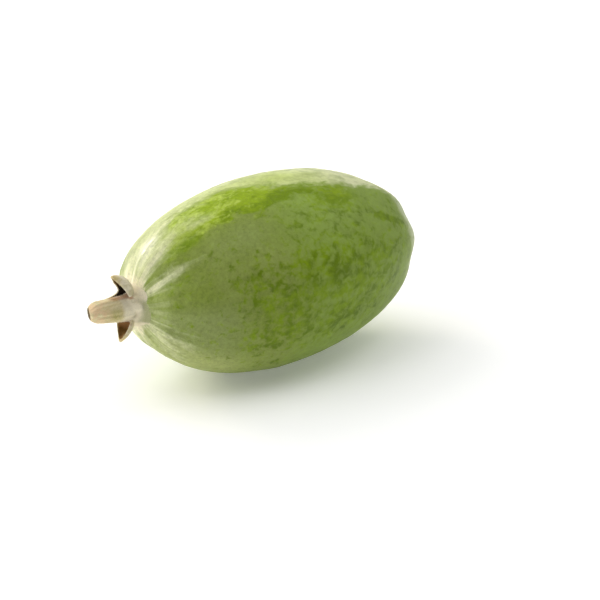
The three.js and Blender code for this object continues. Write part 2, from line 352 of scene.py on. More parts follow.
def skin_growth(material):
    """A sphere's rings and meridians, drawn out into the fruit by the rule of its outline."""
    g = Growth("fruit_rule", {
        "Around": FRUIT_AROUND, "Along": FRUIT_ALONG, "Radius": FRUIT_RADIUS,
        "Stem half": STEM_LENGTH, "Calyx half": CALYX_LENGTH, "Axis height": AXIS_HEIGHT,
        "Rise": STEM_END_RISE, "Drift": STEM_END_DRIFT, "Keel": KEEL_HEIGHT, **SKIN_RELIEF,
    })
    sphere = g.step("MeshUVSphere", Segments=g.size("Around"), Rings=g.size("Along"), Radius=1.0)
    at = SpherePlace(g)
    end_waves = at.stem * at.waves(STEM_WAVES) + (1 - at.stem) * at.waves(CALYX_WAVES)
    end_waves = 2 * at.reach ** 3 * at.belly * end_waves
    wrinkles, rib_mark = stem_wrinkles(g, at)

    # A low ridge runs along the stem half.
    from_keel = (at.angle - math.radians(KEEL_ANGLE)).math("COSINE").math("ARCCOSINE")
    keel = from_keel.bell(0, math.radians(KEEL_HALF_WIDTH)) * at.belly * (-at.share).ramp(-0.35, 0.25)

    radius = (g.size("Radius") * at.oval + at.belly * at.waves(BODY_WAVES) + end_waves + wrinkles
              + keel * g.size("Keel") + skin_relief(g, at))
    bend = at.stem * at.share * at.share
    x = at.share * at.by_half(g.size("Stem half"), g.size("Calyx half"))
    y = g.size("Drift") * bend + radius * at.cosine
    z = g.size("Axis height") + g.size("Rise") * bend + radius * at.sine
    place = g.join(x * MM, y * MM, z.math("MAXIMUM", 0) * MM)
    skin = g.step("SetPosition", Geometry=sphere, Position=place)
    skin = g.step("StoreNamedAttribute", {"data_type": "FLOAT", "domain": "POINT"},
                  Geometry=skin, Name="rib", Value=rib_mark)
    g.finish(skin, material)
    return g


# ---- The skin's colours ----

TONES = dict(
    # Bloom on the flanks.
    bloom="#869742", cloudy="#8f9e50", middle="#8ba248", calyx_side="#8aa04b", neck_side="#8e9b5a",
    grey_patch="#98a664", under_neck="#b7c079", calyx_cap="#bcc696", calyx_rim="#d6ddba",
    # Bloom over the top, where it is thickest, and painted sheen on it.
    top="#c9d38e", calyx_top="#d3d7aa", stem_top="#ccd595", far_top="#dde2b8", green_top="#b3c268",
    # The green under the bloom: on the flanks, and in the band beside the top.
    green="#627b00", light_green="#7c970a", vivid="#93ad18", deep="#708a00", marbling="#b6c957",
    # Round the stalk.
    dull_streak="#adb57c", cream_streak="#e4e6ba", furrow="#8d9c55", light_spoke="#f0ecc8",
    dark_spoke="#8a9558", neck_green="#9cb036", neck_fleck="#6f8a12", waxy_spot="#f8f7d6",
    collar_felt="#e8e1c2",
)


def layered(n, base, **factors):
    """Lays tones over a colour in turn, each as far as its factor says."""
    for tone, factor in factors.items():
        base = n.mix(base, TONES[tone], factor)
    return base


class SkinPlace:
    """Where a point is on the skin, and the noises at the scales of the skin's markings."""

    def __init__(self, n):
        place = place_in_mm(n)
        self.x, y, z = n.split(place)
        share = (self.x / STEM_LENGTH).math("MINIMUM", 0)
        y = y - STEM_END_DRIFT * share * share
        z = z - AXIS_HEIGHT - STEM_END_RISE * share * share
        self.from_axis = (y * y + z * z).math("SQRT")
        # Degrees round the long axis: 90 on top, 180 towards -Y and 270 below. It starts again at +Y.
        self.turned = 180 - z.math("ARCTAN2", -y) * (180 / math.pi)
        self.rib = n.marks("rib")[0]

        # The noises lie about 0. Flecks run along the fruit, and streaks run out from the stalk.
        self.wander = n.noise(n.scale(place, 0.6, 1, 1), 0.42, 5, 0.6, 0.5) - 0.5
        self.marble = n.noise(n.scale(place, 0.5, 1, 1), 0.6, 3, 0.58, 0.8) - 0.5
        self.dapple = n.noise(n.scale(place, 0.9, 1, 1), 0.66, 4, 0.6, 0.4) - 0.5
        self.blotch = n.noise(n.scale(place, 0.8, 1, 1), 0.3, 3, 0.55, 0.3) - 0.5
        self.mottle = n.noise(place, 0.85, 3, 0.6, 0.4) - 0.5
        self.cloud = n.noise(place, 0.12, 3, 0.5) - 0.5
        self.grain = n.noise(place, 1.5, 3, 0.7) - 0.5
        self.speck = n.noise(place, 5, 2, 0.6) - 0.5
        spoke = n.join(y / self.from_axis, z / self.from_axis, self.x * 0.02)
        self.streak = n.noise(spoke, 5.5, 3, 0.62, 0.3) - 0.5
        self.shaken = self.turned + self.wander * 26

    def spot(self, degrees, half_degrees, along, half_along):
        """A soft oval spot, given by its place and half size in degrees round the fruit and along."""
        return self.turned.bell(degrees, half_degrees) * self.x.bell(along, half_along)

    def ring(self, start, full, fading, end):
        """1 on a stretch round the fruit, in degrees, with soft ends."""
        return self.turned.ramp(start, full) * self.turned.ramp(end, fading)


def band_borders(at):
    """The upper and the lower border of the band beside the top, in degrees round the fruit."""
    x = at.x
    top = (87 + 16 * x.ramp(-12, 2) + 5 * x.ramp(1, 10) + 5.5 * x.ramp(9, 15) + 4 * x.ramp(23, 29)
           + 6 * x.ramp(-23, -30) - 8 * x.bell(-24, 3))
    foot = 113 + 13 * x.ramp(2, 9) + 4 * x.ramp(-22, -28) + 5 * x.bell(-11.5, 3)
    return top, foot


def skin_bloom(n, at, top_bloom_and_sheen):
    """Grey-green bloom: greener towards the calyx, paler beneath and palest over the top, where the pale
    is partly thick bloom and partly painted sheen, and with a painted sheen along the calyx end's edge.
    """
    x, turned, blotch, marble = at.x, at.turned, at.blotch, at.marble
    ragged = x + blotch * 9 + marble * 5
    # A pale painted sheen along the calyx end's edge, on the fruit's near side.
    rim = (x + marble * 3).ramp(29.5, 33) * x.ramp(39, 33.5) * at.ring(95, 122, 165, 210)
    bloom = layered(
        n, TONES["bloom"],
        cloudy=at.cloud.ramp(-0.15, 0.15),
        middle=x.ramp(-14, 0),
        calyx_side=x.ramp(12, 22),
        neck_side=at.ring(160, 185, 300, 350) * x.ramp(-16, -26),
        grey_patch=at.spot(129, 11, -17, 6) * 0.5,
        under_neck=at.ring(207, 228, 300, 350) * x.ramp(-12, -25) * 0.65,
        calyx_cap=ragged.ramp(27.5, 36) * 0.75,
        calyx_rim=rim * 0.6,
    )
    far_calyx_half = turned.ramp(96, 80) * x.ramp(2, 10)
    far_side = turned.ramp(84, 70) * (0.3 + x.ramp(-14, -6) * 0.7)
    # Pale over the top: partly thick bloom, partly painted sheen.
    pale = layered(
        n, TONES["top"],
        calyx_top=x.ramp(8, 20),
        stem_top=x.ramp(-8, -18),
        far_top=far_calyx_half + far_side,
        green_top=at.spot(93, 6, 0, 6) * 0.65,
    )
    return n.mix(bloom, pale, top_bloom_and_sheen * (0.92 + blotch * 1.4 + marble * 0.8))


def rubbed_flanks(at, top_bloom_and_sheen):
    """How far the bloom is rubbed off the flanks: flecks, thickest low down towards the middle, where
    they are thickened partly as painted shade.
    """
    x = at.x
    # Low on the near flank the flecks are thicker, partly as painted shade.
    near_flank_flecks_and_shade = at.ring(146, 165, 196, 222) * x.ramp(-27, -15) * x.ramp(34, 18)
    shoulder = at.ring(108, 118, 150, 168) * x.ramp(-15, -4) * x.ramp(18, 12)
    slanting_streak = (at.turned - x * 0.9).bell(122.5, 3) * x.ramp(16, 21) * x.ramp(31, 27)
    far_flank = at.ring(270, 290, 330, 356) * x.bell(0, 22)
    share = (near_flank_flecks_and_shade * 0.47 + shoulder * 0.25 + slanting_streak * 1.6 + far_flank * 0.4
             + at.spot(122, 12, 9, 6) * 0.3 + at.spot(132, 5, 17, 4) * 0.3 - 0.08)
    flecks = at.dapple * 3 + at.mottle * 0.6 + at.cloud * 0.6
    return (flecks + share).ramp(-0.05, 0.7) * (1 - top_bloom_and_sheen)


def rubbed_band(n, at, base, bloom, top, foot):
    """A vivid band beside the top, marbled with what is left of the bloom and darkest at its foot."""
    x, turned = at.x, at.turned
    past_foot = at.shaken - foot
    band = (at.shaken - top).ramp(-4, 6) * past_foot.ramp(3, -2) * x.ramp(-34, -29) * x.ramp(19, 12)
    deep = (at.blotch.ramp(-0.2, 0.2) * 0.6 + past_foot.ramp(-9, -2) * 0.5 + x.ramp(-12, 8) * 0.3
            + at.spot(107, 4, -2, 6) * 0.2)
    more_left = at.spot(100, 3, 0, 3) * 0.8 + at.spot(94, 5, -28, 6) * 0.5
    less_left = (past_foot.bell(-2, 5) * x.ramp(-22, -8) * 0.5
                 + turned.ramp(96, 105) * x.ramp(-16, -6) * 0.5
                 + at.spot(104, 6, -22, 3.5) * 0.3 + at.spot(97, 6, -11, 4) * 0.35
                 + at.spot(116, 7, 11, 4) * 0.4)
    left = at.marble * 4.2 + at.mottle * 0.8 + 0.42 + more_left - less_left
    vivid = layered(n, TONES["vivid"], deep=deep.ramp(0, 1), marbling=left.ramp(0, 1) * 0.85)
    gaps = x.ramp(-8, 1) * (at.marble + at.wander * 0.8).ramp(0.02, 0.16)
    return n.mix(n.mix(base, vivid, band), bloom, band * gaps * 0.6)


def neck_cream(n, at, base):
    """Cream round the stalk, which runs out along the ribs in streaks and spokes, and a painted highlight
    on the neck.
    """
    x, turned, streak, from_axis = at.x, at.turned, at.streak, at.from_axis
    reach = (6.4 + at.ring(20, 45, 101, 119) * 8 + turned.bell(100, 5) * 1.5 - turned.bell(122, 5)
             + turned.bell(132, 5.5) * 4 - turned.bell(149, 6) * 3.2 - turned.bell(172, 22) * 3
             + turned.bell(224, 16) * 3 + turned.bell(330, 30) * 4)
    cream = reach + at.rib * 3.5 + streak * (15 - turned.bell(160, 26) * 12) + at.mottle * 5
    cream = (cream - from_axis).ramp(-6, 5) * x.ramp(-16, -26)
    light_spokes = (turned.bell(52, 16) * from_axis.ramp(9, 6) + turned.bell(106, 10)
                    + turned.bell(135, 8) * from_axis.ramp(10, 7) + at.ring(244, 256, 330, 350))
    dark_spokes = turned.bell(169, 15) * 1.2 + turned.bell(201, 6) * 0.8 + turned.bell(237, 6) * 0.4
    streaks = layered(n, TONES["dull_streak"], cream_streak=streak.ramp(-0.14, 0.1))
    return layered(
        n, n.mix(base, streaks, cream * 0.9),
        furrow=cream * at.rib.ramp(0.1, -0.6) * 0.5,
        light_spoke=light_spokes * cream * (streak.ramp(-0.2, 0.1) * 0.4 + 0.25),
        dark_spoke=dark_spokes * cream * 0.75,
        neck_green=at.spot(105, 13, -26.5, 5) * 0.5,
        neck_fleck=at.spot(114, 5, -27.3, 2.7) * at.marble.ramp(-0.25, 0),
        # A pale painted highlight on the upper neck, where the window light gleams on the coat.
        waxy_spot=at.spot(76, 8, -31.3, 1.4) * 0.8,
    )


def felt_on_skin(at):
    """How far the collar's felt spreads over the skin: mostly on top and beneath."""
    reach = (3.9 + at.ring(10, 50, 112, 134) * 2.4 + at.ring(203, 216, 330, 350) * 0.9
             + at.ring(240, 256, 330, 350) * 1.4)
    felt = (reach + at.streak * 4 + at.mottle * 3 - at.from_axis).ramp(-1, 1)
    return felt * at.x.ramp(-20, -30) * 0.85


def skin_lightness(at):
    """How light the skin is: grainy near the stalk, blotchy near the calyx, and lighter in places, next
    to the collar as painted light.
    """
    x = at.x
    fine = (at.grain * 0.55 + at.speck * 0.3) * (0.5 + x.ramp(10, -20) * 0.8)
    coarse = at.mottle * 0.42 + at.blotch * (0.15 + x.ramp(-5, 5) * 0.3)
    # Next to the collar the skin is lightened: painted light against the collar's shade.
    lighter = (x.ramp(-33.5, -35) * 0.12 + at.spot(147, 10, -13, 5) * 0.1
               + at.ring(112, 120, 150, 168) * x.bell(1, 11) * 0.13)
    return 1 + fine + coarse + lighter


def skin_material():
    """Grey-green bloom over green, rubbed off in brighter patches, and creamy round the stalk."""
    material, n = new_material("feijoa_skin")
    at = SkinPlace(n)
    band_top, band_foot = band_borders(at)
    # Where the skin is palest over the top: partly thick bloom, partly painted sheen.
    top_bloom_and_sheen = (at.shaken - band_top).ramp(4, -6) * at.turned.ramp(10, 60)
    bloom = skin_bloom(n, at, top_bloom_and_sheen)
    rubbed = rubbed_flanks(at, top_bloom_and_sheen)
    green = layered(n, TONES["green"], light_green=at.blotch.ramp(-0.14, 0.12))
    base = n.mix(bloom, green, rubbed * 0.9)
    base = rubbed_band(n, at, base, bloom, band_top, band_foot)
    base = neck_cream(n, at, base)
    base = layered(n, base, collar_felt=felt_on_skin(at))
    base = n.lighten(base, skin_lightness(at))

    # A waxy spot on the neck gleams a little.
    waxy = at.x.ramp(-28.5, -30.5) * at.ring(64, 70, 84, 92)
    waxy = waxy * (at.mottle + at.grain * 0.6).ramp(-0.22, 0.1)
    roughness = 0.5 + at.grain * 0.3 - rubbed * 0.1 - at.x.ramp(-24, -31) * 0.06
    height = at.grain * 0.6 + at.speck * 0.25 + at.mottle * 0.8
    surface(n, height, 0.12, Base_Color=base, Roughness=roughness, Specular_IOR_Level=0.09,
            Coat_Weight=waxy, Coat_Roughness=0.17,
            Sheen_Weight=0.1, Sheen_Roughness=0.3, Sheen_Tint=colour("#eef2d2"))
    return material


# ---- Closed skins for what grows on the ends ----

# How far a point of a closed skin is on an inner face, towards a tip, on a blade or on the cut.
MARKS = ("inner", "tip", "blade", "cut")


def tube(rings, first, last):
    """A closed mesh from rings of points, with a point at each end. Returns points and faces."""
    count, around = rings.shape[:2]
    points = np.vstack([rings.reshape(-1, 3), [first, last]])
    faces = []
    for here in range(0, (count - 1) * around, around):
        above = here + around
        for j in range(around):
            k = (j + 1) % around
            faces.append((here + j, here + k, above + k, above + j))
    start, end = count * around, count * around + 1
    last_ring = start - around
    for j in range(around):
        k = (j + 1) % around
        faces.append((start, k, j))
        faces.append((end, last_ring + j, last_ring + k))
    return points, faces


def marked(points, faces, **marks):
    """A closed part, whose points have a value for each mark: 0 where none is given."""
    blank = np.zeros(len(points))
    return {"points": points, "faces": faces, **dict.fromkeys(MARKS, blank), **marks}


def ramp(value, low, high):
    """0 at low, 1 at high, and an even S between them."""
    share = np.clip((value - low) / (high - low), 0, 1)
    return share * share * (3 - 2 * share)


def drop_at(length, power, root, radius):
    """How far the fruit's end has fallen away from its tip at this distance from the axis."""
    return length * (1 - (1 - (radius / FRUIT_RADIUS) ** root) ** (1 / power))


def sunk_foot(length, power, root, radius, sink, count):
    """A profile a little under the skin of the fruit's end, from near the axis out to a radius."""
    return [(r, -drop_at(length, power, root, r) - sink) for r in np.linspace(0.3, radius, count)]


def turn(points, azimuth):
    """Points turned about Z."""
    cosine, sine = math.cos(math.radians(azimuth)), math.sin(math.radians(azimuth))
    x, y, z = points.T
    return np.stack([x * cosine - y * sine, x * sine + y * cosine, z], 1)


def blade_opening(kind, s, v):
    """The share of its full width that a blade has opened to. Its far half may open on its own."""
    opening = kind["root_share"] + (1 - kind["root_share"]) * ramp(s, 0, 0.35)
    if "far_half" in kind:
        root, waist, widest = kind["far_half"]
        far = root + (waist - root) * ramp(s, 0, 0.3) + (widest - waist) * ramp(s, 0.2, 0.6)
        opening = opening + (far - opening) * ramp(v, -0.25, 0.25)
    return opening


def blade(kind, azimuth, length, width, lean, along=34, around=44, **own):
    """A pointed, cupped blade that grows out of a ring about Z, with its inner face marked."""
    kind = {**kind, **own}
    start, end = (math.radians(a) for a in lean)
    root_cup, tip_cup = kind["cup"]

    # s runs from the root to the tip, v across the blade, and face from the outer side to the inner.
    s = np.linspace(0, 1, along)[:, None]
    loop = np.linspace(0, 2 * math.pi, around, endpoint=False)[None, :]
    v = np.sign(np.cos(loop)) * np.abs(np.cos(loop)) ** 0.85
    face = np.sign(np.sin(loop)) * np.abs(np.sin(loop)) ** 0.7 / 2

    # Half the blade's width, its cup as an arc across it, and its thickness with a keel outside.
    outline = 1 - s ** kind["shoulder"] * (1 - kind["tip_share"])
    half_width = width / 2 * blade_opening(kind, s, v) * outline
    wrap = np.radians(root_cup + (tip_cup - root_cup) * s)
    swing = v * wrap
    keel = np.exp(-(v / 0.16) ** 2) * (face < 0) * 0.18 * (1 - 0.6 * s)
    thick = face * kind["thickness"] * (1 - 0.35 * s ** 3) - keel
    sagitta = half_width * (1 - np.cos(swing)) / np.sin(wrap)
    inward = sagitta + thick * np.cos(swing)

    # Its middle line is an arc from the root, which leans over from one angle to the other.
    angle = start + (end - start) * s
    x = (kind["root_radius"] + length * (math.cos(start) - np.cos(angle)) / (end - start)
         - inward * np.cos(angle))
    x = x - kind.get("sink", 0) * ramp(v, 0, 1) * (1 - ramp(s, 0, 0.45))
    y = half_width * np.sin(swing) / np.sin(wrap) - thick * np.sin(swing)
    z = (kind["root_height"] + length * (np.sin(angle) - math.sin(start)) / (end - start)
         + inward * np.sin(angle))
    rings = np.stack(np.broadcast_arrays(x, y, z), 2)
    rings = turn(rings.reshape(-1, 3), azimuth).reshape(rings.shape)
    points, faces = tube(rings, rings[0].mean(0), rings[-1].mean(0))
    inner = ramp(face, -0.1, 0.3) * (1 - ramp(np.abs(v), 0.86, 1.0)) * (1 - ramp(s, 0.85, 1))
    inner = np.append(inner.ravel(), [0.5, 0.5])
    tip = np.append(np.broadcast_to(s, x.shape).ravel(), [0, 1])
    return marked(points, faces, inner=inner, tip=tip, blade=np.ones(len(points)))


def turned_stub(profile, around, bend):
    """A turned solid about Z from (radius, height) pairs between two poles, moved by bend()."""
    loop = np.linspace(0, 2 * math.pi, around, endpoint=False)
    radius, height = np.array(profile).T
    rings = np.stack([
        radius[:, None] * np.cos(loop), radius[:, None] * np.sin(loop),
        np.broadcast_to(height[:, None], (len(profile), around)),
    ], 2)
    points, faces = tube(rings, (0, 0, height[0]), (0, 0, height[-1]))
    return marked(bend(points), faces)


def evened(values, edges, rounds):
    """Blends each vertex's value with its neighbours', so that markings get soft borders."""
    start, end = edges.T
    neighbours = np.bincount(edges.ravel(), minlength=len(values))
    for _ in range(rounds):
        around = np.bincount(start, values[end], len(values))
        around = around + np.bincount(end, values[start], len(values))
        values = (values + around / neighbours) / 2
    return values


def grown_together(name, parts, to_world, material):
    """Joins closed parts into one seamless skin, which keeps each part's markings."""
    points = np.vstack([part["points"] for part in parts])
    faces, start = [], 0
    for part in parts:
        faces += [tuple(index + start for index in face) for face in part["faces"]]
        start += len(part["points"])
    mesh = bpy.data.meshes.new(name)
    mesh.from_pydata((to_world(points) * MM).tolist(), [], faces)
    piece = put(name, mesh)
    remesh = piece.modifiers.new("one_skin", "REMESH")
    remesh.mode, remesh.voxel_size, remesh.use_smooth_shade = "VOXEL", SKIN_VOXEL * MM, True
    soften = piece.modifiers.new("soften", "SMOOTH")
    soften.iterations, soften.factor = SKIN_SOFTENING, 0.5
    depsgraph = bpy.context.evaluated_depsgraph_get()
    skin = bpy.data.meshes.new_from_object(piece.evaluated_get(depsgraph), depsgraph=depsgraph)
    piece.modifiers.clear()

    # Each point of the skin takes the marks of the nearest point of the parts.
    near = KDTree(len(points))
    for index, vertex in enumerate(mesh.vertices):
        near.insert(vertex.co, index)
    near.balance()
    nearest = [near.find(vertex.co)[1] for vertex in skin.vertices]
    edges = np.empty(len(skin.edges) * 2, np.int32)
    skin.edges.foreach_get("vertices", edges)
    edges = edges.reshape(-1, 2)
    for mark in MARKS:
        values = np.concatenate([part[mark] for part in parts])[nearest]
        values = evened(values, edges, MARK_SOFTENING).astype(np.float32)
        skin.attributes.new(mark, "FLOAT", "POINT").data.foreach_set("value", values)
    skin.materials.append(material)
    piece.data = skin
    skin.name = name
    return piece


# ---- The stem end ----

def at_stem_end(points):
    """From the stalk's own axes (Z out of the fruit, X up) to the fruit's."""
    x, y, z = points.T
    return np.stack([-STEM_LENGTH - z, STEM_END_DRIFT + y, AXIS_HEIGHT + STEM_END_RISE + x], 1)


def stub_profile():
    """The stub's outline as (radius, height) pairs, and how many of them come before its cut face."""
    foot = sunk_foot(STEM_LENGTH, STEM_POWER, STEM_ROOT, COLLAR_RADIUS + 1.1, 0.2, 16)
    heights = np.linspace(-SKIRT_HEIGHT, STALK_LENGTH - TIP_ROUNDING, 78)
    taper = STALK_BASE_RADIUS + (STALK_TIP_RADIUS - STALK_BASE_RADIUS) * ramp(heights, 1, STALK_LENGTH)
    collar = (COLLAR_RADIUS - STALK_BASE_RADIUS + 0.25) * np.clip(1 - (heights + 0.75) / 3.9, 0, 1) ** 3
    skirt = SKIRT_WIDTH * np.clip(-heights / SKIRT_HEIGHT, 0, 1) ** 1.5
    side = list(zip(taper + collar + skirt, heights))
    tip = [(STALK_TIP_RADIUS - TIP_ROUNDING * (1 - math.cos(a)),
            STALK_LENGTH - TIP_ROUNDING * (1 - math.sin(a)))
           for a in np.linspace(0, math.pi / 2, 7)[1:]]
    inside = STALK_TIP_RADIUS - TIP_ROUNDING
    pith = [(inside - 0.1, STALK_LENGTH - 0.06), (inside * 0.6, STALK_LENGTH - 0.25),
            (inside * 0.3, STALK_LENGTH - 0.22), (0.2, STALK_LENGTH - 0.5)]
    before_cut = len(foot + side + tip) - CUT_FACE_RINGS
    return foot + side + tip + pith, before_cut


def stub_waves(waves, angle, z):
    """Waves round the stub, which may twist along it."""
    return sum(height * np.cos(count * angle + turned + twist * z)
               for count, height, turned, twist in waves)


def degrees_from(azimuth, angle):
    """How far round the stub an angle is from an azimuth."""
    return np.degrees(np.angle(np.exp(1j * (angle - math.radians(azimuth)))))


def stub_relief(angle, radius, z):
    """How far the stub's side stands out: its fibres, the folds at its foot, a scar and a crease."""
    fibres = stub_waves(FIBRES, angle, z)
    folds = stub_waves(FOLDS, angle, z) * np.exp(-((z - FOLDS_OUT) / FOLDS_REACH) ** 2)
    round_scar = np.radians(degrees_from(SCAR["azimuth"], angle)) * radius
    from_scar = np.hypot(round_scar, z - SCAR["out"])
    scar = SCAR["height"] * np.exp(-(from_scar / SCAR["radius"]) ** 4)
    scar = scar - SCAR["dent"] * np.exp(-((from_scar - SCAR["dent_radius"]) / SCAR["dent_width"]) ** 2)
    round_crease = degrees_from(CREASE["azimuth"], angle) / CREASE["half_angle"]
    along_crease = (z - CREASE["out"]) / CREASE["half_width"]
    crease = -CREASE["depth"] * np.exp(-round_crease ** 2 - along_crease ** 2)
    side_only = ramp(z, -0.4, 0.3) * (radius > 1.5)
    return (fibres + folds + scar + crease) * side_only


def bend_stub(points):
    """Wrinkles the stub's side, slants its cut, draws in its tip and leans it over."""
    x, y, z = points.T
    radius = np.hypot(x, y)
    swell = 1 + stub_relief(np.arctan2(y, x), radius, z) / np.maximum(radius, 1)
    x, y = x * swell, y * swell
    cut, lean = math.radians(CUT_AZIMUTH), math.radians(STALK_LEAN_AZIMUTH)
    slant = ramp(z, SLANT_FROM, STALK_LENGTH - TIP_ROUNDING)
    z = z - slant * CUT_SLOPE * (x * math.cos(cut) + y * math.sin(cut))
    over = np.clip((z - STALK_LENGTH + TIP_DRAW_LENGTH) / (TIP_DRAW_LENGTH + 1.3), 0, 1) ** 2
    x, y = x * (1 - TIP_DRAW * over), y * (1 - TIP_DRAW * over)
    x = x * np.where(x > 0, 1 - TOP_DRAW * over, 1)
    out = np.maximum(z, 0)
    drift = STALK_LEAN * out + STALK_CURVE * out * out / 2
    return np.stack([x + drift * math.cos(lean), y + drift * math.sin(lean), z], 1)


def stalk_stub():
    """The cut stub on its collar: a slightly bent finger that ends in a slanting cut."""
    profile, before_cut = stub_profile()
    stub = turned_stub(profile, STUB_AROUND, bend_stub)
    stub["cut"] = np.zeros(len(stub["points"]))
    stub["cut"][before_cut * STUB_AROUND:-2] = 1
    stub["cut"][-1] = 1
    return stub


def stalk_surface_tone(n, out, up, fibre, patch, blade):
    """The stub and its collar, by how far out and how far up a point is from the stalk's foot."""
    tone = n.mix("#d8ca98", "#ebdfb6", fibre.ramp(0.35, 0.65))
    olive = out.bell(5.3, 1.6) * up.ramp(2.0, 0.4) * up.ramp(-2.2, -0.8) * patch.ramp(0.25, 0.5)
    tone = n.mix(tone, "#b0a865", olive * 0.8)
    tone = n.mix(tone, "#e9c7a0", out.ramp(5, 8.5) * patch.ramp(0.3, 0.6) * 0.7)
    tone = n.mix(tone, "#f2ead2", out.ramp(4.2, 3.2) * 0.8)
    tone = n.mix(tone, "#a2a578", out.ramp(0.7, -0.5) * up.ramp(2.8, 1.6) * up.ramp(-3.2, -2.4) * 0.9)
    # Painted shade in a band low on the collar, where its crease lies.
    tone = n.mix(tone, "#a09470", out.bell(1.3, 0.5) * up.bell(-1.2, 0.45) * 0.6)

    # A reddish-brown line along the top of the stub, in the angle of the upper bract.
    line = up.ramp(2.25, 2.8) * out.ramp(6.4, 4.6) * out.ramp(0.6, 1.5) * (1 - blade)
    return n.mix(tone, "#a8683c", (line * 1.2 + (patch - 0.5) * 1.2).ramp(0.1, 1.0) * line * 0.7)


def bract_tones(n, up, fibre, patch, tip):
    """The bracts' pale felt outside and the dark brown inside them, with near-black painted shade deep in
    the upper bract's hollow.
    """
    outer = n.mix("#d6cca6", "#ebe2c8", fibre.ramp(0.4, 0.6))
    outer = n.mix(outer, "#a98c5a", up.ramp(0, -1.5) * patch.ramp(0.35, 0.6) * 0.5)
    outer = n.mix(outer, "#cdb267", tip.ramp(0.72, 1) * up.ramp(-1, 0) * 0.6)
    outer = n.mix(outer, "#e2cf98", tip.ramp(0.6, 0.95) * up.ramp(0, -1) * 0.9)
    inner = n.mix("#624619", "#8a6a3e", (tip + (fibre - 0.5) * 0.8).ramp(0.4, 0.95))
    # Near-black painted shade deep in the upper bract's hollow, towards its root.
    inner = n.mix(inner, "#1c1006", up.ramp(1.5, 2.5) * tip.ramp(0.55, 0.3))
    inner = n.mix(inner, "#ab8156", up.ramp(-1.5, -2.5) * tip.ramp(0.55, 0.2))
    return outer, inner


def stalk_material():
    """Pale felt: creamy at the collar, pinkish towards the cut, and dark inside the bracts, with painted
    shade in a crease of the collar and deep in the upper bract's hollow.
    """
    material, n = new_material("stalk_felt")
    place = place_in_mm(n)
    x, _, z = n.split(place)
    out, up = -x - STEM_LENGTH, z - AXIS_HEIGHT - STEM_END_RISE
    inside, tip, blade, cut = n.marks(*MARKS)
    fibre = n.noise(n.scale(place, 0.35, 1, 1), 1.3, 3, 0.6)
    patch = n.noise(place, 0.7, 3, 0.55)
    felt = n.noise(place, 5, 3, 0.65)
    outer, inner = bract_tones(n, up, fibre, patch, tip)
    base = stalk_surface_tone(n, out, up, fibre, patch, blade)
    base = n.mix(base, outer, blade * tip.ramp(0.05, 0.3))
    base = n.mix(base, inner, inside.ramp(0.25, 0.7) * blade)
    base = n.mix(base, "#544222", cut.ramp(0.2, 0.9) * 0.95)
    base = n.lighten(base, 1 + (felt - 0.5) * 0.5)
    surface(n, felt * 0.5 + fibre, 0.1, Base_Color=base, Roughness=0.8 + (felt - 0.5) * 0.2,
            Specular_IOR_Level=0.12, Sheen_Weight=0.15, Sheen_Roughness=0.4,
            Sheen_Tint=colour("#fff3dc"))
    return material


# ---- The calyx end ----

def at_calyx_end(points):
    """From the calyx's own axes (Z out of the fruit, X down) to the fruit's."""
    x, y, z = points.T
    return np.stack([CALYX_LENGTH + z, y, AXIS_HEIGHT - x], 1)


def calyx_cup():
    """A low cup with a rounded rim, which the sepals grow out of."""
    foot = sunk_foot(CALYX_LENGTH, CALYX_POWER, CALYX_ROOT, CUP_RADIUS, 0.12, 12)
    rim = [(CUP_RADIUS + 0.08, 0.15), (CUP_RADIUS + 0.1, 0.5), (CUP_RADIUS, 0.9),
           (CUP_RADIUS - 0.2, CUP_RIM_HEIGHT), (CUP_RADIUS - 0.6, CUP_RIM_HEIGHT),
           (CUP_RADIUS - 0.9, 0.95), (CUP_RADIUS - 1.3, CUP_FLOOR), (1.2, CUP_FLOOR - 0.1),
           (0.3, CUP_FLOOR + 0.1)]
    return turned_stub(foot + rim, 72, lambda points: points)


def calyx_material():
    """Grey-green felt, drying to brown at the tips and edges and inside."""
    material, n = new_material("calyx_felt")
    place = place_in_mm(n)
    out = n.split(place)[0] - CALYX_LENGTH
    inside, tip, blade = n.marks("inner", "tip", "blade")
    patch = n.noise(place, 0.8, 3, 0.6)
    felt = n.noise(place, 7, 2, 0.6)
    base = n.mix("#a3ac78", "#c6cba2", patch.ramp(0.35, 0.65))
    base = n.mix(base, "#7b6240", (tip + (patch - 0.5) * 0.5).ramp(0.75, 1.0) * 0.8)
    base = n.mix(base, "#54401f", inside * 0.85)
    base = n.mix(base, "#4c3d20", (1 - blade) * out.ramp(0.2, 0.9) * 0.8)
    base = n.mix(base, "#dad9b8", felt.ramp(0.5, 0.8) * 0.35)
    surface(n, felt * 0.5 + patch, 0.12, Base_Color=base, Roughness=0.82 + (felt - 0.5) * 0.2,
            Specular_IOR_Level=0.25, Sheen_Weight=0.5, Sheen_Roughness=0.5,
            Sheen_Tint=colour("#f2f2dc"))
    return material


def dry_material():
    """Dry brown threads of the old flower."""
    material, n = new_material("dry_thread")
    patch = n.noise(place_in_mm(n), 1.4, 3, 0.6)
    base = n.mix("#3a2412", "#8a6a42", patch.ramp(0.35, 0.68))
    surface(n, patch, 0.1, Base_Color=base, Roughness=0.8 + (patch - 0.5) * 0.2,
            Specular_IOR_Level=0.25)
    return material


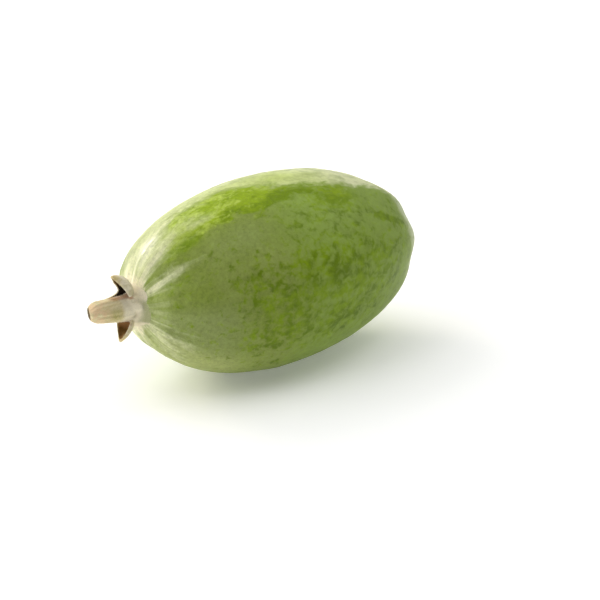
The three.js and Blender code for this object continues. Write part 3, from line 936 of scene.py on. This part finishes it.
def style_stub(material):
    """The dried style: a thin stub with a small knob, standing on the calyx floor."""
    profile = [(STYLE_RADIUS + 0.3, 0), (STYLE_RADIUS + 0.12, 0.25), (STYLE_RADIUS, 0.6),
               (STYLE_RADIUS - 0.08, 1.6), (STYLE_RADIUS - 0.1, STYLE_LENGTH - 1),
               (STYLE_KNOB_RADIUS - 0.1, STYLE_LENGTH - 0.6), (STYLE_KNOB_RADIUS, STYLE_LENGTH - 0.35),
               (STYLE_KNOB_RADIUS - 0.12, STYLE_LENGTH - 0.08), (0.3, STYLE_LENGTH)]
    foot = CUP_FLOOR + 0.35

    def bend(points):
        x, y, z = points.T
        angle = np.arctan2(y, x)
        pinch = 1 + 0.12 * np.cos(3 * angle + z) + 0.06 * np.cos(7 * angle)
        return np.stack([x * pinch + STYLE_LEAN * z, y * pinch, z + foot], 1)

    part = turned_stub(profile, 36, bend)
    mesh = bpy.data.meshes.new("style_stub")
    mesh.from_pydata((at_calyx_end(part["points"]) * MM).tolist(), [], part["faces"])
    mesh.shade_smooth()
    mesh.materials.append(material)
    return put("style_stub", mesh)


def thread_growth(material):
    """The ring of dried stamen stubs on the calyx floor."""
    g = Growth("stamen_stubs", STAMENS)
    ring = g.step("MeshCircle", Vertices=g.size("Count"), Radius=g.size("Ring") * MM)
    seed = g.size("Seed")

    def draw(low, high, extra):
        """A random number for each thread."""
        sockets = {2: low, 3: high, "Seed": seed + extra}
        return g.add("FunctionNodeRandomValue", {"data_type": "FLOAT"}, sockets, out=1)

    x, y, z = g.split(g.step("InputPosition"))
    spread = draw(0.72, 1.22, 1)
    ring = g.step("SetPosition", Geometry=ring, Position=g.join(x * spread, y * spread, z))
    thickness = g.size("Thickness")
    thread = g.step("MeshCone", Vertices=5, Radius_Top=thickness * 0.6 * MM,
                    Radius_Bottom=thickness * MM, Depth=g.size("Length") * MM)
    tilt = g.join(draw(-0.5, 0.5, 2), draw(-0.5, 0.5, 3), draw(0.0, 6.0, 4))
    threads = g.step("InstanceOnPoints", Points=ring, Instance=thread, Rotation=tilt)
    real = g.step("RealizeInstances", Geometry=threads)

    # The threads are made round Z, and turned to point out of the fruit.
    x, y, z = g.split(g.step("InputPosition"))
    foot = CALYX_LENGTH + CUP_FLOOR - 0.15
    outward = g.join(z + foot * MM, y, AXIS_HEIGHT * MM - x)
    placed = g.step("SetPosition", Geometry=real, Position=outward)
    g.finish(placed, material)
    return g


def felt_growth(name, material, seed):
    """Short hairs that stand out of a skin, a few faces each, with none on the inner faces."""
    g = Growth(name, {**FELT_HAIR, "Seed": seed})
    skin = Value(g, g.inputs.outputs["Geometry"])
    seed = g.size("Seed")
    covered = 1 - g.step("InputNamedAttribute", {"data_type": "FLOAT"}, Name="inner")
    density = g.size("Density") / (MM * MM) * covered
    points = g.step("DistributePointsOnFaces", Mesh=skin, Density=density, Seed=seed)
    rotation = Value(g, points.socket.node.outputs["Rotation"])
    hair = g.step("MeshCone", Vertices=3, Radius_Top=0.0, Radius_Bottom=g.size("Thickness") * MM,
                  Depth=g.size("Length") * MM)
    tilt = g.add("FunctionNodeRandomValue", {"data_type": "FLOAT_VECTOR"}, {
        0: (-0.7, -0.7, -3.0), 1: (0.7, 0.7, 3.0), "Seed": seed + 1})
    tilt = g.add("FunctionNodeEulerToRotation", {}, {0: tilt})
    rotation = g.add("FunctionNodeRotateRotation", {"rotation_space": "LOCAL"}, {0: rotation, 1: tilt})
    size = g.add("FunctionNodeRandomValue", {"data_type": "FLOAT"}, {
        2: 0.5, 3: 1.2, "Seed": seed + 2}, out=1)
    hairs = g.step("InstanceOnPoints", Points=points, Instance=hair, Rotation=rotation, Scale=size)
    g.finish(hairs, material)
    return g


def hair_material(name, tone):
    """Pale hairs in a tone of their own, whiter in patches."""
    material, n = new_material(name)
    shade = n.noise(place_in_mm(n), 1.2, 2, 0.5)
    base = n.mix(tone, "#f2ecd8", shade.ramp(0.3, 0.7) * 0.6)
    surface(n, Base_Color=base, Roughness=0.75, Specular_IOR_Level=0.2)
    return material


# ---- Making the pieces ----

def dress(piece, node=None):
    """Puts a piece on the part's one body and in place of a node if it has one."""
    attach(piece, "root")
    if node:
        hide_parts(node)


skin = skin_growth(skin_material()).grow("fruit_skin")
dress(skin, "fruit")

stalk_parts = [stalk_stub()] + [blade(BRACT_KIND, **one) for one in BRACTS]
stalk = grown_together("stalk_and_bracts", stalk_parts, at_stem_end, stalk_material())
dress(stalk, "stalk")

calyx_parts = [calyx_cup()] + [blade(SEPAL_KIND, **one) for one in SEPALS]
calyx = grown_together("calyx_and_sepals", calyx_parts, at_calyx_end, calyx_material())
dress(calyx, "calyx")

dry = dry_material()
dress(style_stub(dry), "style")
dress(thread_growth(dry).grow("stamen_stubs"))

for piece, slot, tone, seed in ((stalk, "stalk", "#e6dcc0", 3), (calyx, "calyx", "#c6c8a4", 5)):
    felt = felt_growth(slot + "_felt", hair_material(slot + "_hair", tone), seed)
    dress(felt.grow(slot + "_hairs", piece.data.copy()))


# ---- The table, the light and the camera ----

# A light is a name, azimuth, elevation, distance and size in metres, power in watts and a tone.
LIGHTS = [
    ("window", 190, 22, 0.9, (0.28, 0.24), 2.0, "#fff4d4"),
    ("back_left_softbox", -165, 40, 1.2, (0.9, 0.8), 4.2),
    ("back_softbox", 150, 45, 1.2, (1.2, 0.8), 3.8),
    ("overhead_softbox", -60, 82, 1.2, (1.2, 1.2), 5.8),
    ("right_softbox", 75, 40, 1.2, (0.9, 0.9), 5.0),
    ("left_softbox", -110, 35, 1.2, (0.9, 0.9), 6.4),
]
TABLE_SIZE, TABLE_GLOW = 6, 0.2  # in metres, and the strength of the table's own light

# Which side of the fruit the camera is on, in degrees, and how far off, to the right and down it
# stands, in millimetres. Its lens and sensor are in millimetres too.
CAMERA_AZIMUTH, CAMERA_ELEVATION = -42, 22
CAMERA_DISTANCE, CAMERA_RIGHT, CAMERA_DOWN = 367.86, 6.909, 6.714
LENS, SENSOR_WIDTH = 100, 36


def table_top():
    """A pale matt table, a little brighter than the lights make it."""
    material, n = new_material("pale_table")
    surface(n, Base_Color=colour("#f9f9f8"), Roughness=0.9, Specular_IOR_Level=0.1,
            Emission_Color=colour("#ffffff"), Emission_Strength=TABLE_GLOW)
    bpy.ops.mesh.primitive_plane_add(size=TABLE_SIZE)
    table = bpy.context.object
    table.name = "table"
    table.data.materials.append(material)


def towards(azimuth, elevation):
    """The direction of a place seen from the fruit. Azimuth 0 is -Y, and 90 is +X."""
    a, e = math.radians(azimuth), math.radians(elevation)
    return Vector((math.sin(a) * math.cos(e), -math.cos(a) * math.cos(e), math.sin(e)))


def soft_light(name, azimuth, elevation, distance, size, power, tone="#ffffff"):
    """A rectangle of light that faces the fruit."""
    lamp = bpy.data.lights.new(name, "AREA")
    lamp.shape, lamp.size, lamp.size_y = "RECTANGLE", size[0], size[1]
    lamp.energy, lamp.color = power, colour(tone)[:3]
    light = put(name, lamp)
    way = towards(azimuth, elevation)
    light.location = Vector((0, 0, AXIS_HEIGHT * MM)) + way * distance
    light.rotation_euler = way.to_track_quat("Z", "Y").to_euler()


def studio():
    """The lights, with no light from the world around them."""
    for light in LIGHTS:
        soft_light(*light)
    world = bpy.data.worlds.new("studio")
    bpy.context.scene.world = world
    world.use_nodes = True
    world.node_tree.nodes.clear()
    n = Nodes(world.node_tree)
    air = n.add("ShaderNodeBackground", {}, {"Strength": 0.0})
    n.add("ShaderNodeOutputWorld", {}, {"Surface": air})
    bpy.context.scene.view_settings.view_transform = "Standard"


def camera():
    """A long lens at the front left, on the stalk's side."""
    back = towards(CAMERA_AZIMUTH, CAMERA_ELEVATION)
    right = towards(CAMERA_AZIMUTH + 90, 0)
    up = back.cross(right)
    eye = bpy.data.cameras.new("camera")
    eye.lens, eye.sensor_width = LENS, SENSOR_WIDTH
    eye.clip_start, eye.clip_end = 0.01, 10
    place = Vector((0, 0, AXIS_HEIGHT)) + back * CAMERA_DISTANCE
    place = place + right * CAMERA_RIGHT - up * CAMERA_DOWN
    view = put("camera", eye)
    view.location = place * MM
    view.rotation_euler = back.to_track_quat("Z", "Y").to_euler()
    bpy.context.scene.camera = view


table_top()
studio()
camera()
